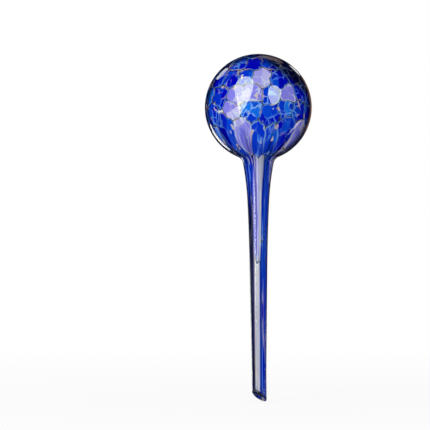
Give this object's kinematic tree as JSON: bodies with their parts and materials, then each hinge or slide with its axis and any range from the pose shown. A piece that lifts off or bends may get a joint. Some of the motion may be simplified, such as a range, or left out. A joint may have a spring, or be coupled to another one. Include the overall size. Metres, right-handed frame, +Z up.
{
  "type": "watering globe",
  "caption": "Hollow blown-glass globe with a long tapered stem and a slanted open tip that is pushed into potting soil, mottled in blues, to water a plant slowly.",
  "frame": {"origin": "on the axis of the stem and bulb, level with the lowest point of the slanted tip", "axes": "+Z up along the stem towards the crown of the bulb; -Y is the front; the slanted opening of the tip looks down towards -X and -Y"},
  "size_m": [0.0892, 0.0892, 0.29],
  "materials": {
    "clear_glass": "clear blown glass with a fire-polished gloss",
    "cobalt_glass": "deep cobalt coloured glass, melted in",
    "azure_glass": "azure coloured glass, melted in",
    "lavender_glass": "lavender opal glass, melted in",
    "white_glass": "white opal glass, melted in"
  },
  "bodies": {
    "root": {"glass_wall": "clear_glass", "cobalt_frit": "cobalt_glass", "azure_frit": "azure_glass", "lavender_frit": "lavender_glass", "white_frit": "white_glass"}
  },
  "joints": []
}
